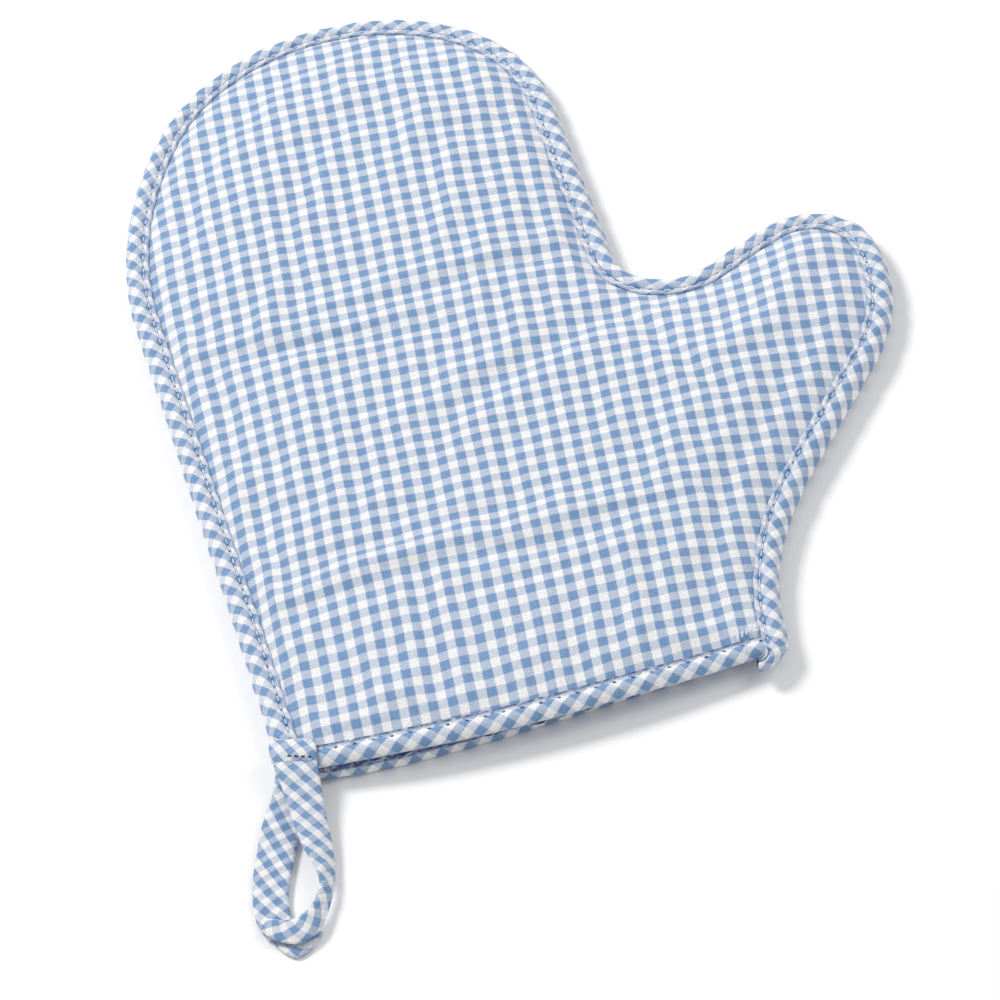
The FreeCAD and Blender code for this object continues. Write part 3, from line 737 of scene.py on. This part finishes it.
def sweep_rim(step, section):
    """Rings of the section along the rim, from the cuff's left end to the tuck at its right."""
    points, headings, gone = walk_outline(step, TAPE_LINE)
    begun = (points[:, 1] > CUFF - 0.5) | (gone > 300.0)
    points, headings, gone = points[begun], headings[begun], gone[begun]
    inward = np.stack([np.sin(headings), -np.cos(headings)], 1)
    rings = []
    steps = np.array(section)
    across = np.concatenate([[0], np.cumsum(np.linalg.norm(np.diff(steps, axis=0), axis=1))])
    for point, side, s in zip(points, inward, gone):
        tuck = smooth((s - gone[-1] + TUCK) / TUCK)
        inset = steps[:, 0] * RIM_SHARE * (1 - 0.5 * tuck)
        rise = steps[:, 1] * (1 - 0.15 * tuck)
        plump = np.clip((8.0 - inset) / 4.0, 0, 1) * np.clip(np.abs(rise) / 2.0, 0, 1)
        drag = np.sin((s + across * 0.9) / 7.3 * 2 * math.pi + 1.7 * hump(s, 41.0, 0.4))
        rise += np.sign(rise) * plump * (0.28 * hump(s, 13.0, 1.0) + 0.16 * drag)
        outer = np.clip(1 - inset / 4.0, 0, 1)
        inset -= outer * 0.35 * hump(s, 10.0, 2.0)
        lip = np.clip(1 - np.abs(inset - 8.0) / 1.5, 0, 1)
        inset += lip * 0.35 * hump(s, 9.0, 4.0)
        flat = point + side * inset[:, None]
        rings.append(np.column_stack([flat, SEAM + rise]))
    return np.array(rings), gone, across


rings, along, across = sweep_rim(1.6, TAPE_SECTION)
ring_count, ring_size = rings.shape[:2]
tape = cuff_warp(rings.reshape(-1, 3))
tape_faces = []
for i in range(ring_count - 1):
    for j in range(ring_size):
        k = (j + 1) % ring_size
        a, b = i * ring_size, (i + 1) * ring_size
        tape_faces.append([a + j, a + k, b + k, b + j])
tape_uv = np.stack(
    [np.repeat(along, ring_size), np.tile(across, ring_count)], 1)
tape_normals = vertex_normals(tape, tape_faces)
# a point on the outer edge of the left side has to face left
if tape_normals[20 * ring_size + OUTERMOST][0] > 0:
    tape_faces = [list(reversed(face)) for face in tape_faces]
    tape_normals = -tape_normals
caps = [list(range(ring_size)), list(range((ring_count - 1) * ring_size, ring_count * ring_size))]
binding_body, binding_thumb = split_pieces(
    "rim_tape", tape, tape_faces + [caps[0][::-1], caps[1]], rim_cloth, tape_uv,
    tape_normals)
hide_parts("perimeter_binding_hand", "perimeter_binding_fingers")
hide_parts("perimeter_binding_thumb")


# ---------------------------------------------------------------------------------------
# Stitches
# ---------------------------------------------------------------------------------------
def capsules(centres, directions, ups, length, wide, high):
    """Short rounded stitches as one set of arrays."""
    ring = [(math.cos(a), math.sin(a)) for a in np.arange(8) * math.pi / 4]
    profile = [(-0.5, 0.15), (-0.44, 0.7), (-0.25, 1.0), (0.25, 1.0), (0.44, 0.7), (0.5, 0.15)]
    points, faces = [], []
    for centre, direction, up in zip(centres, directions, ups):
        side = np.cross(up, direction)
        base = len(points)
        for place, fat in profile:
            for c, s in ring:
                offset = side * (c * wide / 2 * fat) + up * (s * high / 2 * fat)
                points.append(centre + direction * (place * length) + offset)
        for i in range(len(profile) - 1):
            for j in range(8):
                k = (j + 1) % 8
                a, b = base + i * 8, base + (i + 1) * 8
                faces.append([a + j, a + k, b + k, b + j])
        faces.append([base + j for j in range(8)][::-1])
        faces.append([base + (len(profile) - 1) * 8 + j for j in range(8)])
    return np.array(points), faces


def topstitch(name, level, sign, nodes_body, nodes_thumb):
    """A row of stitches along the rim tape's groove, up or down by sign."""
    points, headings, gone = walk_outline(0.8)
    inward = np.stack([np.sin(headings), -np.cos(headings)], 1)
    line = points + inward * RIM_STITCH
    kept = points[:, 1] > CUFF + 3.0
    line, headings, gone = line[kept], headings[kept], gone[kept]
    marks = np.arange(gone[0] + 2.0, gone[-1] - 2.0, 3.1)
    index = np.searchsorted(gone, marks)
    centres = np.column_stack([line[index], np.full(len(index), level)])
    centres[:, 2] += sign * 0.1 * np.sin(marks * 1.7)
    directions = np.column_stack(
        [np.cos(headings[index]), np.sin(headings[index]), np.zeros(len(index))])
    ups = np.tile((0.0, 0.0, float(sign)), (len(index), 1))
    stitches, faces = capsules(cuff_warp(centres), directions, ups, 2.4, 0.55, 0.45)
    normals = vertex_normals(stitches, faces)
    uv = stitches[:, :2]
    body, thumb = split_pieces(name, stitches, faces, thread, uv, normals)
    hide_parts(*nodes_body)
    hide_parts(*nodes_thumb)


topstitch(
    "palm_seam_thread", SEAM + 2.72, 1, ("front_topstitch_hand", "front_topstitch_fingers"),
    ("front_topstitch_thumb",))
topstitch(
    "back_seam_thread", SEAM - 2.55, -1, ("back_topstitch_hand", "back_topstitch_fingers"),
    ("back_topstitch_thumb",))


# ---------------------------------------------------------------------------------------
# Cuff bindings
# ---------------------------------------------------------------------------------------
def edge_limits(beyond):
    """Where a line along the cuff meets the inner edge of the perimeter tape."""
    points = walk_outline(0.5)[0]
    at = points[np.abs(points[:, 1] - (CUFF + beyond)) < 0.5][:, 0]
    return at.min() + 5.0, at.max() - 5.0


def cuff_binding(name, top, bottom, seed, narrow, material):
    """Tape folded round one panel's edge; top and bottom give the panel's two faces, and
    narrow its share of the full width."""
    left, right = edge_limits(5.0)
    xs = np.linspace(left, right, 150)
    # distance from the cuff's edge, and share between the panel's faces
    section = [
        (9.0, 1, -0.2), (9.7, 1, 0.25), (9.8, 1, 0.75), (9.3, 1, 1.05), (8.6, 1, 0.75),
        (7.9, 1, 0.35), (7.2, 1, 0.75), (6.0, 1, 1.2), (4.2, 1, 1.35), (2.4, 1, 1.0),
        (0.9, 1, 0.1), (0.0, 0.66, 0.0), (-0.4, 0.4, 0.0), (0.1, 0.1, 0.0), (1.0, 0, -0.6),
        (3.0, 0, -0.9), (6.0, 0, -0.9), (8.5, 0, -0.8), (9.3, 0, -0.3), (8.8, 0, 0.2)]
    crest = 8
    inset = 9.8 - (9.8 - np.array([p[0] for p in section])) * narrow
    share = np.array([p[1] for p in section], float)
    lift = np.array([p[2] for p in section])
    rows = []
    for x in xs:
        y = CUFF + inset
        column = np.full(len(inset), x)
        upper = float(top(np.array([x]), np.array([CUFF + 5.0]))[0])
        lower = float(bottom(np.array([x]), np.array([CUFF + 5.0]))[0])
        z = lower + (upper - lower) * share + lift
        fat = np.clip((9.0 - inset) / 4.0, 0, 1) * (share > 0.9)
        drag = np.sin((x + inset * 0.9) / 7.7 * 2 * math.pi + seed)
        z = z + fat * (0.22 * hump(x, 15.0, seed) + 0.14 * drag)
        y = y + np.clip(1 - inset / 3.0, 0, 1) * 0.3 * hump(x, 11.0, seed + 1)
        rows.append(np.column_stack([column, y, z]))
    rows = np.array(rows)
    count, size = rows.shape[:2]
    points = rows.reshape(-1, 3)
    faces = []
    for i in range(count - 1):
        for j in range(size):
            k = (j + 1) % size
            faces.append([i * size + j, (i + 1) * size + j, (i + 1) * size + k, i * size + k])
    normals = vertex_normals(points, faces)
    # the section's top has to face up
    if normals[count // 2 * size + crest][2] < 0:
        faces = [face[::-1] for face in faces]
    faces.append(list(range(size)))
    faces.append(list(range((count - 1) * size, count * size))[::-1])
    length = np.concatenate([[0], np.cumsum(np.hypot(np.diff(inset), np.diff(share * 3 + lift)))])
    uv = np.stack([np.repeat(xs, size) + 2.0, -np.tile(length, count)], 1)
    return make_object(name, cuff_warp(points), faces, material, uv)


front_cuff = cuff_binding("palm_cuff_tape", front_top, front_under, 0.7, 0.76, tape_cloth)
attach(front_cuff, "hand")
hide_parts("front_cuff_binding")


def back_level(x, y):
    return np.full_like(x, SEAM - 0.4)


back_cuff = cuff_binding("back_cuff_tape", back_level, back_bottom, 2.9, 1.0, mouth_shade_cloth)
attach(back_cuff, "hand")
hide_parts("back_cuff_binding")


def cuff_row(name, heights, sign, node, pitch, inset, size, material):
    """A row of stitches or needle holes along a cuff tape, up or down by sign."""
    left, right = edge_limits(5.0)
    xs = np.arange(left + 2.0, right - 1.0, pitch)
    y = np.full(len(xs), CUFF + inset)
    centres = np.column_stack([xs, y, heights(xs, y)])
    ups = np.tile((0.0, 0.0, float(sign)), (len(xs), 1))
    directions = np.tile((1.0, 0.0, 0.0), (len(xs), 1))
    points, faces = capsules(cuff_warp(centres), directions, ups, *size)
    piece = make_object(name, points, faces, material)
    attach(piece, "hand")
    if node:
        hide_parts(node)
    return piece


def stitch_level(x, y):
    return front_top(x, np.full_like(x, CUFF + 5.0)) + 0.45


cuff_row(
    "palm_cuff_thread", lambda x, y: stitch_level(x, y) + 0.1, 1, "front_cuff_stitching", 6.0,
    STITCH_LINE, (4.4, 0.5, 0.35), thread)
# painted shade: a row of near-black capsules standing for the shade in the needle holes, not thread
# or cloth colour
cuff_row(
    "palm_cuff_hole_shade", lambda x, y: stitch_level(x, y) + 0.45, 1, "", 6.0, 7.4,
    (1.3, 1.0, 0.5), dark_thread_and_hole_shade)
cuff_row(
    "back_cuff_thread", lambda x, y: back_bottom(x, np.full_like(x, CUFF + 5.0)) - 0.05,
    -1, "back_cuff_stitching", 4.4, STITCH_LINE, (3.3, 0.6, 0.5), thread)


# ---------------------------------------------------------------------------------------
# Hanging loop
# ---------------------------------------------------------------------------------------
# centre of the tape and half of its width as a vector: from the sewn root down the right leg
# and round the bow, where the tape is folded over, then up the left leg
RIGHT_LEG = [
    ((-97.3, -130.0, 9.2), (6.8, -1.4, 0.2)),
    ((-97.1, -136.5, 8.8), (6.7, -1.2, 0.0)),
    ((-96.4, -144.5, 7.0), (5.9, -0.6, -0.4)),
    ((-95.9, -155.5, 5.8), (5.2, 0.0, -0.8)),
    ((-95.1, -165.5, 5.2), (4.6, 0.2, -1.5)),
    ((-94.0, -174.5, 4.7), (3.0, 0.6, -2.0)),
    ((-94.3, -181.0, 4.2), (2.1, 0.4, -2.0)),
    ((-96.5, -187.6, 4.0), (2.0, -0.8, -1.6)),
    ((-100.2, -194.0, 3.9), (1.6, -3.4, -1.1)),
    ((-105.8, -197.2, 3.9), (0.2, -4.5, -0.8)),
    ((-111.2, -195.2, 3.6), (-1.6, -3.4, -0.5)),
    ((-115.6, -191.2, 2.9), (-1.7, -1.9, -0.3)),
]
LEFT_LEG = [
    ((-111.6, -195.0, 1.1), (-4.2, -0.9, 0.0)),
    ((-112.6, -188.5, 1.4), (-5.4, -0.2, 0.0)),
    ((-112.6, -181.0, 1.7), (-5.6, 0.4, 0.0)),
    ((-110.9, -171.5, 1.8), (-6.0, 0.6, 0.1)),
    ((-108.2, -162.0, 1.9), (-6.2, 0.8, 0.3)),
    ((-104.9, -152.0, 2.4), (-6.4, 1.0, 0.6)),
    ((-100.6, -142.0, 3.6), (-6.0, 1.0, 0.5)),
    ((-98.6, -134.0, 5.0), (-5.6, 0.8, 0.3)),
]


def spline(values, samples):
    """Catmull-Rom through the rows, with samples steps in each span."""
    values = np.asarray(values, float)
    padded = np.vstack([2 * values[0] - values[1], values, 2 * values[-1] - values[-2]])
    rows = []
    for i in range(len(values) - 1):
        p0, p1, p2, p3 = padded[i:i + 4]
        for t in np.arange(samples) / samples:
            rows.append(0.5 * (
                2 * p1 + (p2 - p0) * t + (2 * p0 - 5 * p1 + 4 * p2 - p3) * t ** 2
                + (3 * p1 - p0 - 3 * p2 + p3) * t ** 3))
    rows.append(values[-1])
    return np.array(rows)


def ribbon(name, stations, thick, material):
    """A tape of several plies along centres with half-width vectors."""
    centres = spline([s[0] for s in stations], 10)
    halves = spline([s[1] for s in stations], 10)
    tangents = np.gradient(centres, axis=0)
    tangents /= np.linalg.norm(tangents, axis=1, keepdims=True)
    gone = np.concatenate([[0], np.cumsum(np.linalg.norm(np.diff(centres, axis=0), axis=1))])
    profile = np.linspace(-1, 1, 13)
    rows, uvs = [], []
    for centre, half, tangent, s in zip(centres, halves, tangents, gone):
        normal = np.cross(tangent, half)
        normal /= np.linalg.norm(normal)
        wide = np.linalg.norm(half)
        body = thick / 2 * (1 - np.abs(profile) ** 6) + 0.12
        seam = -0.35 * np.exp(-((profile - 0.72) / 0.1) ** 2)
        ripple = 0.22 * np.sin((s + profile * 3.5) / 6.1 * 2 * math.pi + hump(s, 23.0, 0.3))
        ripple = ripple * (1 - profile ** 2)
        upper = centre + half * profile[:, None] + normal * (body + seam + ripple)[:, None]
        lower = centre + half * profile[:, None] + normal * (-body + ripple)[:, None]
        rows.append(np.vstack([upper, lower[::-1]]))
        t = profile * wide
        uvs.append(np.column_stack([np.full(2 * len(t), s), np.concatenate([t, t[::-1]])]))
    rows = np.array(rows)
    count, size = rows.shape[:2]
    points = rows.reshape(-1, 3)
    faces = []
    for i in range(count - 1):
        for j in range(size):
            k = (j + 1) % size
            faces.append([i * size + j, i * size + k, (i + 1) * size + k, (i + 1) * size + j])
    faces.append(list(range(size))[::-1])
    faces.append(list(range((count - 1) * size, count * size)))
    points[:, 2] = np.maximum(points[:, 2], 0.3)
    return make_object(name, points, faces, material, np.vstack(uvs))


for leg_name, stations in (("hanger_tape", RIGHT_LEG), ("hanger_left_leg", LEFT_LEG)):
    leg = ribbon(leg_name, stations, 1.4, loop_cloth)
    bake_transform(leg)
    if stations is RIGHT_LEG:
        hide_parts("hanging_loop")

# the turned-under ply that peeks out below the bow
TURNING = [
    ((-112.8, -193.0, 0.9), (-2.2, -1.6, 0.0)),
    ((-110.6, -197.6, 0.9), (-1.8, -3.0, 0.0)),
    ((-107.0, -201.0, 0.9), (-0.6, -4.2, 0.0)),
    ((-103.2, -199.6, 0.9), (1.0, -3.2, 0.0)),
    ((-100.0, -196.2, 0.9), (1.6, -1.6, 0.0)),
]
turning = ribbon("hanger_turning", TURNING, 1.1, loop_cloth)
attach(turning, "loop")

ANCHOR = [
    ((-97.0, -124.0, 9.2), (7.2, -2.1, 0.5)),
    ((-97.1, -126.5, 9.9), (7.4, -2.1, 0.5)),
    ((-97.2, -129.0, 10.1), (7.4, -2.0, 0.4)),
    ((-97.3, -131.0, 9.9), (7.3, -1.8, 0.3)),
    ((-97.4, -132.8, 9.2), (7.1, -1.6, 0.2)),
]
anchor = ribbon("hanger_root", ANCHOR, 1.3, loop_cloth)
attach(anchor, "hand")
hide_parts("loop_anchor")


# ---------------------------------------------------------------------------------------
# Tacking stitches
# ---------------------------------------------------------------------------------------
def tacked(name, first, stride, count, along_stitch, size, material, node):
    """A few raised stitches, each a stride from the last, on the hand."""
    centres = np.array([np.add(first, np.multiply(stride, i)) for i in range(count)])
    directions = np.tile(along_stitch, (count, 1))
    ups = np.tile((0.0, 0.0, 1.0), (count, 1))
    points, faces = capsules(centres, directions, ups, *size)
    piece = make_object(name, points, faces, material)
    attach(piece, "hand")
    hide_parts(node)


tacked(
    "hanger_tacks", (-98.6, -131.2, 10.7), (2.1, -0.75, 0.0), 4, (0.93, -0.36, 0.0),
    (1.3, 0.7, 0.5), dark_thread_and_hole_shade, "loop_tack_stitches")
tacked(
    "corner_bars", (47.5, -121.0, 9.3), (1.6, 0.8, 0.0), 5, (0.25, 0.97, 0.0),
    (3.0, 0.7, 0.6), thread, "corner_backtack")

# ---------------------------------------------------------------------------------------
# Studio: floor, light and camera
# ---------------------------------------------------------------------------------------
floor_mesh = bpy.data.meshes.new("studio_floor")
reach = 3.0
floor_mesh.from_pydata(
    [(-reach, -reach, 0), (reach, -reach, 0), (reach, reach, 0), (-reach, reach, 0)], [],
    [(0, 1, 2, 3)])
floor = bpy.data.objects.new("studio_floor", floor_mesh)
bpy.context.scene.collection.objects.link(floor)
paper = Nodes("pale_floor")
grain = paper.noise(paper.add("ShaderNodeTexCoord").outputs["Object"], 30.0)
paper.finish(
    paper.mix(grain, (0.95, 0.95, 0.95, 1), (0.97, 0.97, 0.97, 1)), grain, 0.00002, 1.0, 0.0)
floor_mesh.materials.append(paper.material)

world = bpy.data.worlds.new("studio_world")
world.use_nodes = True
world.node_tree.nodes["Background"].inputs[0].default_value = (1.0, 1.0, 1.0, 1)
world.node_tree.nodes["Background"].inputs[1].default_value = 0.52
bpy.context.scene.world = world


def lamp(name, place, aim, size, watts):
    """A soft round white lamp at place, in metres, turned towards aim."""
    light = bpy.data.lights.new(name, "AREA")
    light.shape = "DISK"
    light.size = size
    light.energy = watts
    thing = bpy.data.objects.new(name, light)
    thing.location = place
    thing.rotation_euler = (Vector(aim) - Vector(place)).to_track_quat("-Z", "Y").to_euler()
    bpy.context.scene.collection.objects.link(thing)


lamp("key_light", (-1.3, 1.3, 1.8), (0, 0, 0), 0.85, 45.0)
lamp("side_light", (1.4, -0.2, 1.5), (0.1, 0, 0), 1.2, 8.5)

# focal length in pixels of a 1000 pixel frame, then the photograph's angle of view
FRAME = 1000.0
FOCAL = 6500.0
SENSOR = 36.0
ELEVATION, ROLL, DISTANCE = math.radians(45.78), math.radians(-12.23), 2115.5
TARGET = Vector((-16.72, -35.56, 5.0))
backward = Vector((0, -math.cos(ELEVATION), math.sin(ELEVATION)))
level_right = Vector((1, 0, 0))
level_up = backward.cross(level_right)
right = math.cos(ROLL) * level_right + math.sin(ROLL) * level_up
up = -math.sin(ROLL) * level_right + math.cos(ROLL) * level_up
camera_data = bpy.data.cameras.new("camera")
camera_data.sensor_width = SENSOR
camera_data.lens = FOCAL * SENSOR / FRAME
camera_data.clip_end = 20.0
camera = bpy.data.objects.new("camera", camera_data)
place = (TARGET + backward * DISTANCE) * MM
camera.matrix_world = Matrix((
    (right.x, up.x, backward.x, place.x), (right.y, up.y, backward.y, place.y),
    (right.z, up.z, backward.z, place.z), (0, 0, 0, 1)))
bpy.context.scene.collection.objects.link(camera)
bpy.context.scene.camera = camera
bpy.context.scene.view_settings.view_transform = "Standard"
